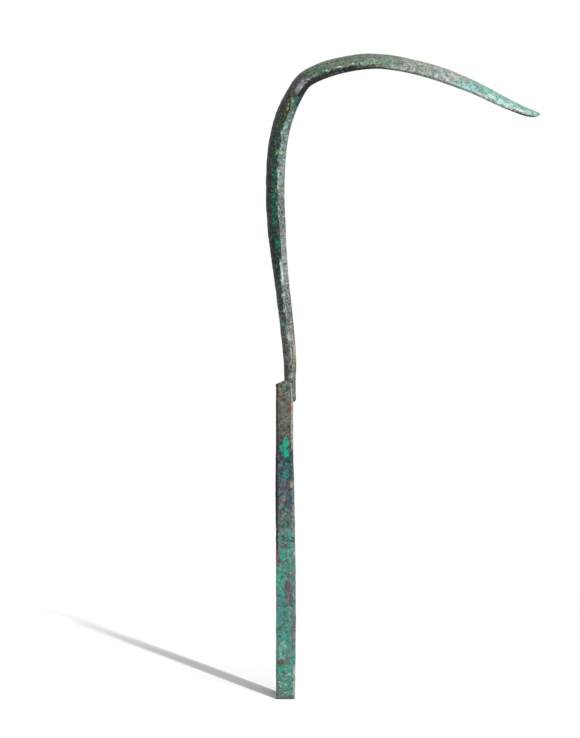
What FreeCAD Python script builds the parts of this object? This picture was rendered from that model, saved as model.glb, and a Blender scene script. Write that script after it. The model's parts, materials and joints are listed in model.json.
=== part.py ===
"""A bronze strigil: a hooked, gutter-shaped scraper blade set in a hollow box handle of soldered plates.

Every length is in millimetres and every angle in degrees. The object stands upright on the end of
its handle: +Z runs up the handle, +X points the way the hook reaches, and Y runs across the blade.
The origin is the middle of the handle's end face. The handle's wide plates face front (+X, under
the hook) and back (-X), and its narrow walls face left (+Y) and right (-Y).
"""
import FreeCAD
import Part
import math
import os

Vector = FreeCAD.Vector

# Handle, as its outer box. Its back is upright and its other faces taper towards the top
HANDLE_LENGTH = 112.3
HANDLE_DEPTH_END = 6.7
HANDLE_DEPTH_TOP = 5.8
HANDLE_WIDTH_END = 15.4
HANDLE_WIDTH_TOP = 13.0
PLATE_THICKNESS = 0.9
PLATE_EDGE_ROUND = 0.45
WALL_THICKNESS = 1.0

# Strap slot, which runs right through the two wide plates
SLOT_WIDTH = 5.6
SLOT_LENGTH = 72.0
SLOT_FROM_END = 20.0

# Pieces that close the two ends of the box
END_CAP_THICKNESS = 1.2
END_CAP_ROUND = 0.45
SHOULDER_CAP_THICKNESS = 1.0

# Solder: fillets in the long corners, a pool on the end cap, and a bank around the stem
SEAM_LEG = 0.7
POOL_DEPTH = 0.8
BANK_RISE = 1.1
BANK_INSET = 0.15

# Joint between the blade and the handle. The tang is inside the box, and the two tabs are outside it
TANG_DEPTH = 11.0
TANG_CLEARANCE = 0.3
BEDDING_BELOW_TANG = 1.5
TAB_LENGTH = 6.6
TAB_PROUD = 1.25
TAB_END_SLOPE = 31.0
JOINT_CLEARANCE = 0.05

# Blade: its length along its back line, its greatest width, how far its lips stand in there, its sheet
BLADE_LENGTH = 204.7
BLADE_WIDTH = 22.6
LIP_INSET = 0.2
SHEET = 0.9

# The hollow that is left at the blade's tip, how it leaves the handle, and its sections' spacing
TIP_MOUTH = 0.8
TIP_HOLLOW = 0.3
TIP_RIDGE = 0.2
ROOT_RISE = 1.1
ROOT_HEADING = -1.2
SECTION_STEP = 5.0

# Handle length of the curve that draws a quarter of an ellipse, as a share of each half axis
QUARTER = 0.5523


class Section:
    """The gutter's section, by its outer sizes.

    Its width is measured at the ridges, its mouth between the lips, its depth from the back to
    the lips, and its ridge from the back to the widest line.
    """

    def __init__(self, width, mouth, depth, ridge):
        self.width = width
        self.mouth = mouth
        self.depth = depth
        self.ridge = ridge


class Stretch:
    """One arc of the blade's back line.

    It has its share of the blade's length, in parts of the sum of all shares, its turn towards
    +X, and the section at its end.
    """

    def __init__(self, name, share, turn, section):
        self.name = name
        self.share = share
        self.turn = turn
        self.section = section

    def length(self):
        """Its length along the back line."""
        return BLADE_LENGTH * self.share / sum(stretch.share for stretch in STRETCHES)


STEM_WIDTH = HANDLE_WIDTH_TOP - 2 * (WALL_THICKNESS + TANG_CLEARANCE)
ROOT = Section(width=STEM_WIDTH, mouth=7.4, depth=4.2, ridge=3.1)
TIP_WIDTH = 2 * SHEET + TIP_MOUTH
STRETCHES = [
    Stretch("root sweep", 15.0, -5.2, Section(10.7, 7.3, 4.4, 2.6)),
    Stretch("lean", 21.0, -1.2, Section(11.4, 7.5, 5.0, 2.4)),
    Stretch("waist", 11.2, -0.6, Section(12.4, 8.3, 5.8, 4.2)),
    Stretch("belly", 11.0, 4.2, Section(13.2, 9.0, 6.55, 4.4)),
    Stretch("chest", 23.9, 9.1, Section(14.8, 10.6, 6.6, 4.4)),
    Stretch("shoulder", 26.9, 28.4, Section(18.0, 14.2, 6.05, 4.2)),
    Stretch("knuckle", 7.6, 30.7, Section(19.2, 16.0, 6.0, 4.2)),
    Stretch("crown", 13.4, 15.0, Section(21.0, 18.8, 5.8, 4.1)),
    Stretch("brow", 15.9, 17.8, Section(BLADE_WIDTH, BLADE_WIDTH - 2 * LIP_INSET, 5.0, 4.1)),
    Stretch("fall", 22.1, 13.0, Section(21.8, 21.8, 4.9, 3.9)),
    Stretch("cheek", 15.2, 8.9, Section(18.0, 18.0, 4.1, 3.2)),
    Stretch("nose", 12.8, -3.2, Section(13.2, 13.2, 3.3, 2.5)),
    Stretch("spoon", 5.5, -1.4, Section(8.8, 8.8, 2.5, 1.9)),
    Stretch("tip", 3.2, -0.8, Section(TIP_WIDTH, TIP_WIDTH, SHEET + TIP_HOLLOW, SHEET + TIP_RIDGE)),
]


def between(low, high, share):
    """The value at a share of the way from low to high."""
    return low + (high - low) * share


def back_at(z):
    """X of the handle's back face at height z."""
    return -HANDLE_DEPTH_END / 2


def front_at(z):
    """X of the handle's front face at height z."""
    return back_at(z) + between(HANDLE_DEPTH_END, HANDLE_DEPTH_TOP, z / HANDLE_LENGTH)


def left_at(z):
    """Y of the handle's left face at height z."""
    return between(HANDLE_WIDTH_END, HANDLE_WIDTH_TOP, z / HANDLE_LENGTH) / 2


def right_at(z):
    """Y of the handle's right face at height z."""
    return -left_at(z)


def inner_back(z):
    """X of the back plate's inner face at height z."""
    return back_at(z) + PLATE_THICKNESS


def inner_front(z):
    """X of the front plate's inner face at height z."""
    return front_at(z) - PLATE_THICKNESS


def inner_left(z):
    """Y of the left wall's inner face at height z."""
    return left_at(z) - WALL_THICKNESS


def inner_right(z):
    """Y of the right wall's inner face at height z."""
    return -inner_left(z)


def plate_top():
    """Height at which the back plate and the walls end, under the shoulder cap."""
    return HANDLE_LENGTH - SHOULDER_CAP_THICKNESS


def prism(z_low, z_high, outline):
    """A flat-sided block between two heights. outline gives the corners, as X and Y, at a height."""
    low, high = ([Vector(x, y, z) for x, y in outline(z)] for z in (z_low, z_high))
    outlines = [low[::-1], high]
    for i in range(len(low)):
        j = (i + 1) % len(low)
        outlines.append([low[i], low[j], high[j], high[i]])
    faces = [Part.Face(Part.makePolygon(corners + corners[:1])) for corners in outlines]
    return outward(Part.Solid(Part.Shell(faces)))


def outward(solid):
    """The same solid with its faces turned outwards."""
    if solid.Volume < 0:
        solid.reverse()
    return solid


def block(z_low, z_high, back, front, right, left):
    """A four-sided block between two heights. Each side is a function that gives X or Y at a height."""

    def outline(z):
        return [(back(z), right(z)), (front(z), right(z)), (front(z), left(z)), (back(z), left(z))]

    return prism(z_low, z_high, outline)


def slab(z_low, z_high, back, front):
    """A block as wide as the handle."""
    return block(z_low, z_high, back, front, right_at, left_at)


def round_edges(shape, radius, wanted):
    """Rounds the straight edges whose middle and direction pass the test."""
    chosen = []
    for edge in shape.Edges:
        start, end = edge.Vertexes[0].Point, edge.Vertexes[-1].Point
        if wanted((start + end) / 2, (end - start).normalize()):
            chosen.append(edge)
    return shape.makeFillet(radius, chosen)


def strap_slot():
    """The round-ended slot as a bar that passes right through the handle."""
    radius = SLOT_WIDTH / 2
    start = -HANDLE_DEPTH_END
    low, high = SLOT_FROM_END + radius, SLOT_FROM_END + SLOT_LENGTH - radius
    ends = ((-radius, low), (-radius, high), (radius, high), (radius, low))
    corners = [Vector(start, y, z) for y, z in ends]
    outline = Part.Wire(
        [
            Part.makeLine(corners[0], corners[1]),
            Part.Arc(corners[1], Vector(start, 0, high + radius), corners[2]).toShape(),
            Part.makeLine(corners[2], corners[3]),
            Part.Arc(corners[3], Vector(start, 0, low - radius), corners[0]).toShape(),
        ]
    )
    return Part.Face(outline).extrude(Vector(2 * HANDLE_DEPTH_END, 0, 0))


def wide_plate(blank, facing):
    """A wide plate from its blank: the outer long edges rounded and the strap slot cut.

    facing is +1 for the front plate and -1 for the back plate.
    """
    middle = blank.CenterOfMass.x
    radius = min(PLATE_EDGE_ROUND, PLATE_THICKNESS / 2)

    def outer_long(point, direction):
        upright = abs(direction.z) > abs(direction.x) + abs(direction.y)
        return upright and abs(point.y) > left_at(point.z) - radius and (point.x - middle) * facing > 0

    return round_edges(blank, radius, outer_long).cut(strap_slot())


def front_blank(spare=0.0):
    """The front plate before rounding and slotting, with a spare allowance on its faces and its top."""
    top = HANDLE_LENGTH + spare
    return slab(END_CAP_THICKNESS, top, lambda z: inner_front(z) - spare, lambda z: front_at(z) + spare)


def front_plate():
    """The wide plate under the hook. Its top end sits in the notch in the blade's root."""
    return wide_plate(front_blank(), 1)


def back_plate():
    """The wide plate on the outer side. It ends under the shoulder cap."""
    return wide_plate(slab(END_CAP_THICKNESS, plate_top(), back_at, inner_back), -1)


def side_wall_left():
    """The narrow wall between the two plates on the +Y side."""
    return block(END_CAP_THICKNESS, plate_top(), inner_back, inner_front, inner_left, left_at)


def side_wall_right():
    """The narrow wall between the two plates on the -Y side."""
    return block(END_CAP_THICKNESS, plate_top(), inner_back, inner_front, right_at, inner_right)


def end_cap():
    """The plate that closes the handle's end, with its lower and upright edges rounded."""
    blank = slab(0.0, END_CAP_THICKNESS, back_at, front_at)
    radius = min(END_CAP_ROUND, END_CAP_THICKNESS / 2)
    return round_edges(blank, radius, lambda point, direction: point.z < END_CAP_THICKNESS - radius / 2)


def stem_back():
    """X of the blade's back line where it leaves the handle."""
    return front_at(HANDLE_LENGTH) + TAB_PROUD - ROOT.depth


def path_point(along):
    """Point and heading of the blade's back line. Below zero it runs straight down into the handle."""
    x, z, heading = stem_back(), HANDLE_LENGTH + ROOT_RISE, math.radians(ROOT_HEADING)
    for stretch in STRETCHES:
        if along <= 0:
            break
        length = min(stretch.length(), along)
        turn = math.radians(stretch.turn) * length / stretch.length()
        chord = length * math.sin(turn / 2) / (turn / 2) if turn else length
        x += chord * math.sin(heading + turn / 2)
        z += chord * math.cos(heading + turn / 2)
        heading += turn
        along -= length
    return x + along * math.sin(heading), z + along * math.cos(heading), heading


def steady_curve(places, values, place):
    """A smooth curve through values at rising places, which never overshoots them, read at one place."""
    if place <= places[0]:
        return values[0]
    if place >= places[-1]:
        return values[-1]
    slopes = [(values[i + 1] - values[i]) / (places[i + 1] - places[i]) for i in range(len(places) - 1)]
    tangents = [slopes[0]]
    for before, after in zip(slopes, slopes[1:]):
        tangents.append(2 * before * after / (before + after) if before * after > 0 else 0.0)
    tangents.append(slopes[-1])
    i = max(k for k in range(len(slopes)) if places[k] <= place)
    span = places[i + 1] - places[i]
    t = (place - places[i]) / span
    rise = t * t * (3 - 2 * t)
    ease_out = t * (1 - t) ** 2 * span * tangents[i]
    ease_in = t * t * (1 - t) * span * tangents[i + 1]
    return between(values[i], values[i + 1], rise) + ease_out - ease_in


def section_at(along):
    """The gutter's section at a distance along its back line."""
    places, sections = [0.0], [ROOT]
    for stretch in STRETCHES:
        places.append(places[-1] + stretch.length())
        sections.append(stretch.section)
    sizes = {}
    for name in ("width", "mouth", "depth", "ridge"):
        sizes[name] = steady_curve(places, [getattr(section, name) for section in sections], along)
    return Section(**sizes)


def section_frame(along):
    """A function that places a point of the section, from its depth and its side, at a distance along."""
    x, z, heading = path_point(along)
    inward = Vector(math.cos(heading), 0, -math.sin(heading))
    origin = Vector(x, 0, z)
    return lambda depth, side: origin + inward * depth + Vector(0, side, 0)


def shell_edges(along, shrink, lips):
    """One shell of the gutter, a distance inside its outer faces, up to the depth of its lips.

    It runs from the left lip to the right one: a flange, two quarters of an ellipse, and a flange.
    """
    section = section_at(along)
    at = section_frame(along)
    wide, mouth = section.width / 2 - shrink, section.mouth / 2 - shrink
    pull = QUARTER * (section.ridge - shrink)
    quarters = []
    for side in (wide, -wide):
        poles = [at(section.ridge, side), at(section.ridge - pull, side)]
        poles += [at(shrink, QUARTER * side), at(shrink, 0)]
        curve = Part.BezierCurve()
        curve.setPoles(poles if side > 0 else poles[::-1])
        quarters.append(curve.toShape())
    left = Part.makeLine(at(lips, mouth), at(section.ridge, wide))
    right = Part.makeLine(at(section.ridge, -wide), at(lips, -mouth))
    return [left] + quarters + [right]


def sheet_wire(along, spare=0.0):
    """The closed outline of the sheet's section, grown by a spare allowance on every face."""
    lips = section_at(along).depth + spare
    outer = shell_edges(along, -spare, lips)
    inner = shell_edges(along, SHEET + spare, lips)
    left_lip = Part.makeLine(inner[0].Vertexes[0].Point, outer[0].Vertexes[0].Point)
    right_lip = Part.makeLine(outer[-1].Vertexes[-1].Point, inner[-1].Vertexes[-1].Point)
    return Part.Wire(outer + [right_lip] + inner[::-1] + [left_lip])


def filled_wire(along, spare):
    """The section's outer outline, closed straight across the mouth and grown by a spare allowance."""
    outer = shell_edges(along, -spare, section_at(along).depth + spare)
    mouth = Part.makeLine(outer[-1].Vertexes[-1].Point, outer[0].Vertexes[0].Point)
    return Part.Wire(outer + [mouth])


def through(wires):
    """One smooth solid through a row of outlines."""
    return outward(Part.makeLoft(wires, True, False))


def tang_end():
    """Distance along the blade's back line, below its first bend, at which the tang ends."""
    return -ROOT_RISE - TANG_DEPTH


def blade_places():
    """Places of the blade's sections, evenly spaced from its first bend to its tip."""
    steps = math.ceil(BLADE_LENGTH / SECTION_STEP)
    return [BLADE_LENGTH * step / steps for step in range(steps + 1)]


def tang_bar(outline, spare=0.0):
    """A straight bar from the first bend to the tang's end, grown by a spare allowance on every face."""
    top, end = (section_frame(along)(0, 0) for along in (0, tang_end()))
    upwards = (top - end).normalize()
    face = Part.Face(outline(0, spare)).translated(upwards * spare)
    return outward(face.extrude(end - top - upwards * 2 * spare))


def gutter():
    """The whole gutter before it is notched: the straight tang, and the blade from its first bend."""
    return tang_bar(sheet_wire).fuse(through([sheet_wire(along) for along in blade_places()]))


def blade():
    """The scraper from tang to tip, notched for the front plate, with its two tabs cut to length."""
    tab_end = HANDLE_LENGTH - TAB_LENGTH
    inner, outer = front_at(tab_end) - PLATE_THICKNESS / 2, front_at(tab_end) + 2 * TAB_PROUD
    rise = (outer - inner) * math.tan(math.radians(TAB_END_SLOPE))
    outline = [(inner, tab_end - rise / 2), (outer, tab_end + rise / 2), (outer, 0), (inner, 0)]
    corners = [Vector(x, -HANDLE_WIDTH_END, z) for x, z in outline]
    profile = Part.Face(Part.makePolygon(corners + corners[:1]))
    below_tabs = profile.extrude(Vector(0, 2 * HANDLE_WIDTH_END, 0))
    return gutter().cut(front_blank(JOINT_CLEARANCE)).cut(below_tabs)


def stem_space():
    """The space that the stem takes in what it passes through, hollow and clearance included."""
    return tang_bar(filled_wire, JOINT_CLEARANCE)


def shoulder_cap():
    """The plate that closes the top of the box behind and beside the stem."""
    return slab(plate_top(), HANDLE_LENGTH, back_at, inner_front).cut(stem_space())


def stem_solder():
    """The bank of solder on the shoulder cap, which slopes up to the stem's back and sides."""

    def sloped(low, high):
        return lambda z: between(low, high, (z - HANDLE_LENGTH) / BANK_RISE)

    back = sloped(back_at(HANDLE_LENGTH) + BANK_INSET, stem_back() - JOINT_CLEARANCE)
    left = sloped(left_at(HANDLE_LENGTH) - BANK_INSET, STEM_WIDTH / 2 + JOINT_CLEARANCE)
    top = HANDLE_LENGTH + BANK_RISE
    bank = block(HANDLE_LENGTH, top, back, lambda z: inner_front(HANDLE_LENGTH), lambda z: -left(z), left)
    return bank.cut(stem_space())


def bedding_floor():
    """Height of the underside of the metal that beds the tang."""
    return HANDLE_LENGTH - TANG_DEPTH - BEDDING_BELOW_TANG


def tang_bedding():
    """The lead poured around the tang, which fills the top of the box under the shoulder cap."""
    filling = block(bedding_floor(), plate_top(), inner_back, inner_front, inner_right, inner_left)
    return filling.cut(tang_bar(sheet_wire, JOINT_CLEARANCE))


def cap_solder():
    """The pool of solder that holds the end cap inside the box."""
    top = END_CAP_THICKNESS + POOL_DEPTH
    return block(END_CAP_THICKNESS, top, inner_back, inner_front, inner_right, inner_left)


def seam_solder():
    """The four fillets of solder in the long inner corners, between the pool and the bedding."""
    fillets = []
    for plate, into_x in ((inner_back, SEAM_LEG), (inner_front, -SEAM_LEG)):
        for wall, into_y in ((inner_left, -SEAM_LEG), (inner_right, SEAM_LEG)):

            def outline(z):
                x, y = plate(z), wall(z)
                return [(x, y), (x + into_x, y), (x, y + into_y)]

            fillets.append(prism(END_CAP_THICKNESS + POOL_DEPTH, bedding_floor(), outline))
    return Part.makeCompound(fillets)


PIECES = {
    "blade": blade,
    "front_plate": front_plate,
    "back_plate": back_plate,
    "side_wall_left": side_wall_left,
    "side_wall_right": side_wall_right,
    "end_cap": end_cap,
    "shoulder_cap": shoulder_cap,
    "stem_solder": stem_solder,
    "tang_bedding": tang_bedding,
    "cap_solder": cap_solder,
    "seam_solder": seam_solder,
}


def main():
    """Builds every piece and writes one STEP file for each."""
    os.makedirs("parts", exist_ok=True)
    for name, build in PIECES.items():
        build().exportStep(f"parts/{name}.step")


main()
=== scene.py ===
"""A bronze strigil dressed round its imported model: a hooked scraper blade on a hollow box handle.

Sizes are written in millimetres and become metres where a mesh or a lamp is made. +Z runs up the
handle, +X points the way the hook reaches, and the camera looks along +Y at the narrow side.
"""

import json
import logging
import math
from collections.abc import Callable, Iterator, Mapping, Sequence
from contextlib import contextmanager
from dataclasses import dataclass
from enum import Enum

import bmesh
import bpy
import numpy as np
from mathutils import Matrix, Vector

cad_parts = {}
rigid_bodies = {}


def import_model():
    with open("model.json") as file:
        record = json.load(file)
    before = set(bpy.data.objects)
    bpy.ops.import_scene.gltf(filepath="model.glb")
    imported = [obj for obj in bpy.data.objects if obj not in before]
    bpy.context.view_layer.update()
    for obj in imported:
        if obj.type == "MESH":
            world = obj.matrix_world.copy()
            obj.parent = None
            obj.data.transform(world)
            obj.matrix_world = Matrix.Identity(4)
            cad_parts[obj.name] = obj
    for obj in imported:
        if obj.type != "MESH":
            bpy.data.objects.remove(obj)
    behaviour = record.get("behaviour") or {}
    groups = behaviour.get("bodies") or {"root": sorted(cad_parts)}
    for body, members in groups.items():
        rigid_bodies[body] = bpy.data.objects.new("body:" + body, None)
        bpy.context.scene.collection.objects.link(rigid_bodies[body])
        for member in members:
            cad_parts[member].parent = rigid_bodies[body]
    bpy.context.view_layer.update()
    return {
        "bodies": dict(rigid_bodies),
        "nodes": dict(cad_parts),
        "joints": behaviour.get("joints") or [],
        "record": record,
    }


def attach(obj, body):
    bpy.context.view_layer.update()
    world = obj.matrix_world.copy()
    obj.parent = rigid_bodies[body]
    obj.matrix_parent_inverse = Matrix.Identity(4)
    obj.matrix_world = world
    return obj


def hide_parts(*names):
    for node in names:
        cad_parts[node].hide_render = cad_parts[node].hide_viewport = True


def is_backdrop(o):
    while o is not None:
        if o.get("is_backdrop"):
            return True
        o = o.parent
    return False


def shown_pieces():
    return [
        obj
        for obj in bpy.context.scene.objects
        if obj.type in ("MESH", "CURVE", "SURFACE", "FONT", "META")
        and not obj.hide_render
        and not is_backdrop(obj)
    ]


MM = 0.001
LOG = logging.getLogger("strigil")
COVER_LIFT, PATCH_LEVEL = 0.42, 0.71  # how far full cover lifts the noise, and where a patch starts
FIRST_SEED, NEXT_SEED = 11.3, 5.1
ALL_WHITE = (1.0, 1.0, 1.0, 1.0)

Piece = bpy.types.Object
Material = bpy.types.Material
Pair = tuple[float, float]
Triple = tuple[float, float, float]
Colour = tuple[float, float, float, float]


def linear(code: str) -> Colour:
    """The linear colour of an sRGB code.

    Args:
        code: Six hexadecimal digits.

    Returns:
        Red, green, blue and alpha, as a shader socket takes them.
    """
    parts = [int(code[i : i + 2], 16) / 255 for i in (0, 2, 4)]
    light = [c / 12.92 if c <= 0.04045 else ((c + 0.055) / 1.055) ** 2.4 for c in parts]
    return (light[0], light[1], light[2], 1.0)


class Tint(Enum):
    """The colours of the metal and of what has grown on it, some also used for painted shade and painted
    highlights.
    """

    INK = "15191b"
    SLATE = "313a3b"
    FIR = "2a4039"
    BOTTLE = "1c6a58"
    PETROL = "24525a"
    TEAL = "398c85"
    EMERALD = "14a783"
    JADE = "4a8776"
    MOSS = "586e5c"
    PEAT = "40452d"
    KHAKI = "85876a"
    SAGE = "84988a"
    STONE = "7d857d"
    ASH = "a2a8a0"
    BONE = "bdbeb1"
    CREAM = "cfcabd"
    MINT = "b4ded2"
    TURQUOISE = "8dbfb4"
    MILK = "dbe3df"
    LILAC = "a09fae"
    MAUVE = "6c6168"
    PLUM = "553f4b"
    UMBER = "4b3f37"
    DRIFT = "625a50"
    TAN = "b09674"
    BRICK = "8f4a38"
    CORAL = "cf8570"
    GOLD = "d6c268"
    OCHRE = "a8702c"
    LEAD = "6f7476"
    SOLDER = "656a62"

    @property
    def colour(self) -> Colour:
        """The tint as a linear colour."""
        return linear(self.value)


def operator(operation: str, turned: bool = False) -> Callable[["Value", "Value | float"], "Value"]:
    """A method that adds one Math node.

    Args:
        operation: The node's operation.
        turned: Whether the other term comes first.

    Returns:
        The method.
    """

    def method(value: "Value", other: "Value | float") -> "Value":
        """The node's result."""
        terms = (other, value) if turned else (value, other)
        return value.graph.node("Math", {"operation": operation}, dict(enumerate(terms)))

    return method


class Value:
    """A shader socket that takes part in sums. An expression on values adds its Math nodes."""

    __add__, __radd__ = operator("ADD"), operator("ADD", turned=True)
    __sub__, __rsub__ = operator("SUBTRACT"), operator("SUBTRACT", turned=True)
    __mul__, __rmul__ = operator("MULTIPLY"), operator("MULTIPLY", turned=True)
    __truediv__ = operator("DIVIDE")
    most = operator("MAXIMUM")

    def __init__(self, graph: "Graph", socket: bpy.types.NodeSocket) -> None:
        """Keeps the socket and the graph that it belongs to."""
        self.graph = graph
        self.socket = socket

    def step(self, low: float, high: float) -> "Value":
        """A smooth step.

        Args:
            low: Value at which the step is 0.
            high: Value at which it is 1. It may be below low.

        Returns:
            The step, between 0 and 1.
        """
        settings = {"interpolation_type": "SMOOTHSTEP"}
        return self.graph.node("MapRange", settings, {"Value": self, "From Min": low, "From Max": high})

    def along(self, stops: Mapping[float, float], length: float) -> "Value":
        """A value that changes along a piece.

        Args:
            stops: The value at each place, between 0 and 1.
            length: Length that the stops are spread over.

        Returns:
            The value, straight between stops.
        """
        greys = [(place / length, (level, level, level, 1.0)) for place, level in stops.items()]
        return self.graph.node("ValToRGB", {"stops": greys}, {"Fac": self / length})


class Graph:
    """The nodes of one material or world, in the order in which they are asked for."""

    def __init__(self, owner: Material | bpy.types.World) -> None:
        """Takes over a new material or world and clears its nodes."""
        self.owner = owner
        owner.use_nodes = True
        self.tree = owner.node_tree
        self.tree.nodes.clear()

    def node(
        self,
        kind: str,
        settings: dict[str, object] | None = None,
        inputs: dict[int | str, object] | None = None,
        output: int | str = 0,
    ) -> Value:
        """Adds one node.

        Args:
            kind: The node's type without its leading ShaderNode.
            settings: The node's own settings, a colour ramp's stops among them.
            inputs: The value or link of each socket, by the socket's name or number.
            output: The output that is wanted, by name or number.

        Returns:
            That output.
        """
        node = self.tree.nodes.new("ShaderNode" + kind)
        for name, value in (settings or {}).items():
            if name == "stops":
                self._set_stops(node.color_ramp, value)
            else:
                setattr(node, name, value)
        for name, value in (inputs or {}).items():
            if isinstance(value, Value):
                self.tree.links.new(value.socket, node.inputs[name])
            else:
                node.inputs[name].default_value = value
        return Value(self, node.outputs[output] if node.outputs else None)

    @staticmethod
    def _set_stops(ramp: bpy.types.ColorRamp, stops: Sequence[tuple[float, Colour]]) -> None:
        """Writes the stops of a colour ramp."""
        while len(ramp.elements) < len(stops):
            ramp.elements.new(1.0)
        for element, (place, colour) in zip(ramp.elements, stops):
            element.position = place
            element.color = colour

    def place(self) -> Value:
        """The point on the piece, in millimetres."""
        point = self.node("TexCoord", output="Object")
        return self.vector("SCALE", point, Scale=1 / MM)

    def vector(self, operation: str, *terms: object, **named: object) -> Value:
        """One Vector Math node.

        Args:
            operation: The node's operation.
            terms: Its vectors, in order.
            named: Its other sockets.

        Returns:
            The node's first output.
        """
        return self.node("VectorMath", {"operation": operation}, {**dict(enumerate(terms)), **named})

    def split(self, vector: Value) -> tuple[Value, Value, Value]:
        """The three numbers of a vector."""
        node = self.node("SeparateXYZ", inputs={0: vector})
        return tuple(Value(self, socket) for socket in node.socket.node.outputs)

    def noise(
        self,
        place: Value,
        size: float,
        seed: float,
        detail: float = 3.0,
        rough: float = 0.55,
        squeeze: Triple = (1.0, 1.0, 1.0),
    ) -> Value:
        """Cloudy noise.

        Args:
            place: The point that it is read at, in millimetres.
            size: Size of its largest lumps.
            seed: Number that tells one noise from another.
            detail: Count of finer layers.
            rough: Strength of each finer layer.
            squeeze: How many times finer it is along each axis.

        Returns:
            A value about 0.5.
        """
        scale = tuple(share / size for share in squeeze)
        point = self.vector("MULTIPLY_ADD", place, scale, (seed, 1.7 * seed, -seed))
        inputs = {"Vector": point, "Scale": 1.0, "Detail": detail, "Roughness": rough}
        return self.node("TexNoise", {}, inputs)

    def blend(self, mask: Value | float, under: Value | Colour, over: Value | Colour) -> Value:
        """Lays one colour over another.

        Args:
            mask: Where the upper colour shows.
            under: The lower colour.
            over: The upper colour.

        Returns:
            The blended colour.
        """
        return self.node("Mix", {"data_type": "RGBA"}, {0: mask, 6: under, 7: over}, 2)

    def dim(self, colour: Value, factor: Value | float) -> Value:
        """The colour times a number."""
        return self.vector("SCALE", colour, Scale=factor)

    def finish(self, height: Value, depth: float, sockets: dict[str, object]) -> Material:
        """Closes the material.

        Args:
            height: Height of its fine grain, about 0 to 1.
            depth: Depth of that grain in millimetres.
            sockets: Values or links of the surface's sockets.

        Returns:
            The finished material.
        """
        bump = self.node("Bump", {}, {"Strength": 1.0, "Distance": depth * MM, "Height": height})
        surface = self.node("BsdfPrincipled", {}, {**sockets, "Metallic": 0.0, "Normal": bump})
        self.node("OutputMaterial", {}, {"Surface": surface})
        return self.owner


@dataclass(frozen=True)
class Ground:
    """The colour along one strip of a piece, with painted shade and highlights in some strips, and where
    across the piece the strip sets in.
    """

    tints: Mapping[float, Tint]
    sets_in: Pair | None = None


@dataclass(frozen=True)
class Growth:
    """One colour, of corrosion and in some growths of painted shade and highlights, and the share of the
    surface that it takes along a piece.

    A grain is the size of its patches, and stretch draws them out along the piece. Across the piece
    it sets in over one pair of places and ends over another.
    """

    tint: Tint
    grain: float
    cover: Mapping[float, float]
    sets_in: Pair | None = None
    ends: Pair | None = None
    strength: float = 1.0
    soft: float = 0.05
    stretch: float = 1.0

    def mask(self, lie: "Lie", seed: float) -> Value:
        """Where this colour shows.

        Args:
            lie: The piece's coordinates.
            seed: Number that tells its patches from others.

        Returns:
            The mask, between 0 and 1.
        """
        squeeze = (1 / self.stretch, 1.0, 1.0)
        cloud = lie.graph.noise(lie.flow, self.grain, seed, detail=4.0, rough=0.6, squeeze=squeeze)
        level = cloud + COVER_LIFT * lie.ragged.along(self.cover, lie.length)
        mask = level.step(PATCH_LEVEL - self.soft, PATCH_LEVEL + self.soft) * self.strength
        if self.sets_in:
            mask = mask * lie.band.step(*self.sets_in)
        if self.ends:
            mask = mask * lie.band.step(*self.ends[::-1])
        return mask


@dataclass(frozen=True)
class Spot:
    """One patch of colour at its own place: along and across the piece, and half its size each way."""

    tint: Tint
    along: float
    across: float
    half_along: float
    half_across: float
    strength: float = 1.0
    square: bool = False

    def mask(self, lie: "Lie") -> Value:
        """Where the patch shows.

        Args:
            lie: The piece's coordinates.

        Returns:
            The mask, between 0 and 1.
        """
        off = lie.graph.vector("SUBTRACT", lie.spread, (self.along, self.across, 0.0))
        scaled = lie.graph.vector("MULTIPLY", off, (1 / self.half_along, 1 / self.half_across, 0.0))
        if self.square:
            along, across, _ = lie.graph.split(lie.graph.vector("ABSOLUTE", scaled))
            reach = along.most(across)
        else:
            reach = lie.graph.node("VectorMath", {"operation": "LENGTH"}, {0: scaled}, "Value")
        return reach.step(1.1, 0.8) * lie.grit * lie.near * self.strength


@dataclass
class Lie:
    """A piece's own coordinates in a material.

    Place is the point, flow the point with its first axis along the piece, ragged the uneven
    distance along, band the uneven place across, spread the uneven pair of both in millimetres,
    grit how dense a single patch is, and near the side that the single patches are on.
    """

    graph: Graph
    length: float
    place: Value
    flow: Value
    ragged: Value
    band: Value
    spread: Value
    grit: Value
    near: Value


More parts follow.
